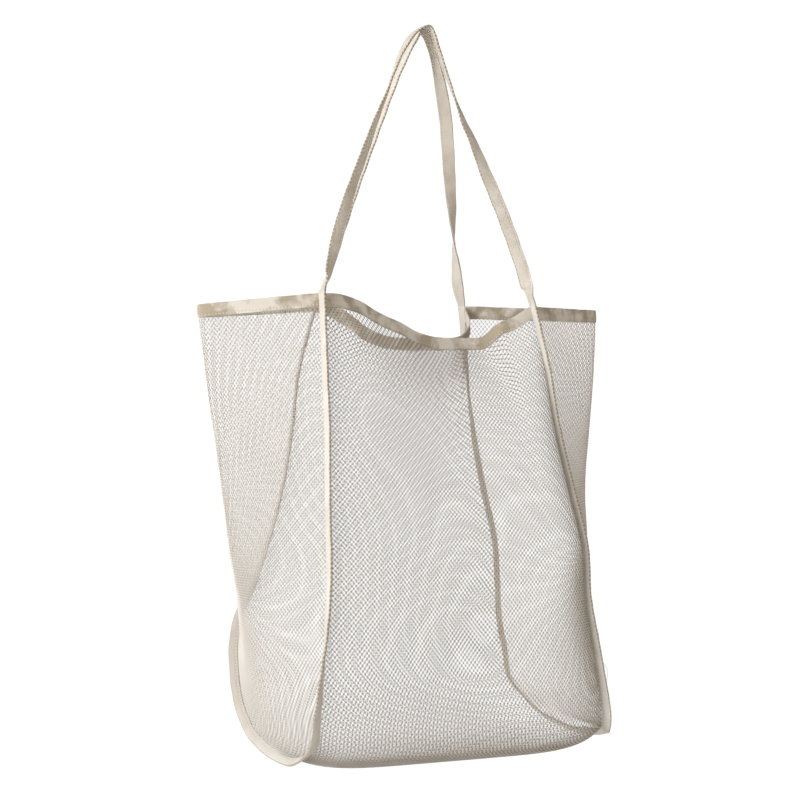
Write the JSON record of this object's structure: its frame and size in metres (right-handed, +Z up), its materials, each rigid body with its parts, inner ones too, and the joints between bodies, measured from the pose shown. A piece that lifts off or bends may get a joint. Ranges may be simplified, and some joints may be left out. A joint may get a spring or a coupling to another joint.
{
  "type": "mesh shopping bag",
  "caption": "Open-topped net tote bag with folded side panels, taped seams and rim, hanging by its long narrow tape handles.",
  "frame": {"origin": "the point where the undersides of the handles rest on a hook, midway between the handles", "axes": "+Z up, +X to the bag's right as seen from its front, the front panel faces -Y"},
  "size_m": [0.4206, 0.2158, 0.6761],
  "materials": {
    "net": "matte open net",
    "tape": "matte twill tape"
  },
  "bodies": {
    "root": {"centre_panel": "net", "left_gusset": "net", "right_gusset": "net", "front_rim_band": "tape", "back_rim_band": "tape", "left_rim_band": "tape", "right_rim_band": "tape", "left_seam_binding": "tape", "right_seam_binding": "tape", "front_handle": "tape", "back_handle": "tape"}
  },
  "joints": []
}
